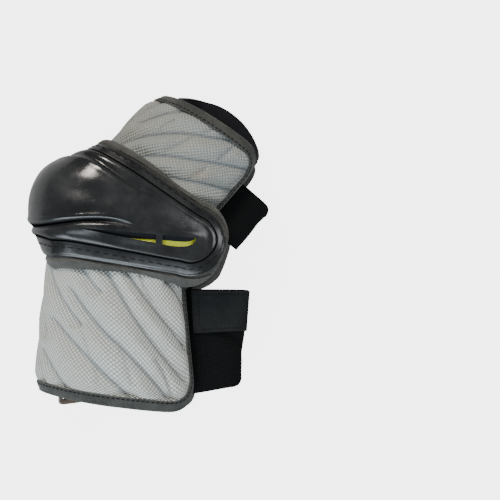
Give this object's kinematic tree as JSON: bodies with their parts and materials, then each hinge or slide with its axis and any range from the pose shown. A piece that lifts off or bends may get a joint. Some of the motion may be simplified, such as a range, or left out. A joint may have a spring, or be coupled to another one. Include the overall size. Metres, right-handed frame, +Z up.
{
  "type": "lacrosse arm pad",
  "caption": "Lacrosse arm pad, bent at the elbow: quilted shells for forearm and upper arm, a moulded elbow cap on a foam cup, elastic straps and a padded cuff",
  "frame": {"origin": "centre of the bounding box's base, on the surface the pad lies on", "axes": "+Z up; -Y along the forearm towards the wrist; the elbow point faces -X and the crook of the arm +X"},
  "size_m": [0.199, 0.267, 0.1139],
  "materials": {
    "grey_mesh": "coarse basket-weave mesh over foam, quilted",
    "grey_tape": "felt-like binding tape",
    "black_shell": "moulded, glossy, slightly scuffed",
    "yellow_foam": "closed-cell foam, matte",
    "grey_foam": "cloth-faced foam",
    "black_webbing": "ribbed elastic webbing",
    "black_cloth": "smooth stretch cloth over foam",
    "brown_plastic": "moulded, glossy"
  },
  "bodies": {
    "root": {"forearm_pad": "grey_mesh", "forearm_binding": "grey_tape", "upper_arm_pad": "grey_mesh", "upper_arm_binding": "grey_tape", "elbow_cap": "black_shell", "cap_foam": "yellow_foam", "elbow_cup": "grey_foam", "upper_arm_cuff": "black_cloth", "upper_arm_strap": "black_webbing", "forearm_strap": "black_webbing", "forearm_strap_tab": "black_webbing", "strap_ring": "brown_plastic", "ring_keeper": "black_webbing"}
  },
  "joints": []
}
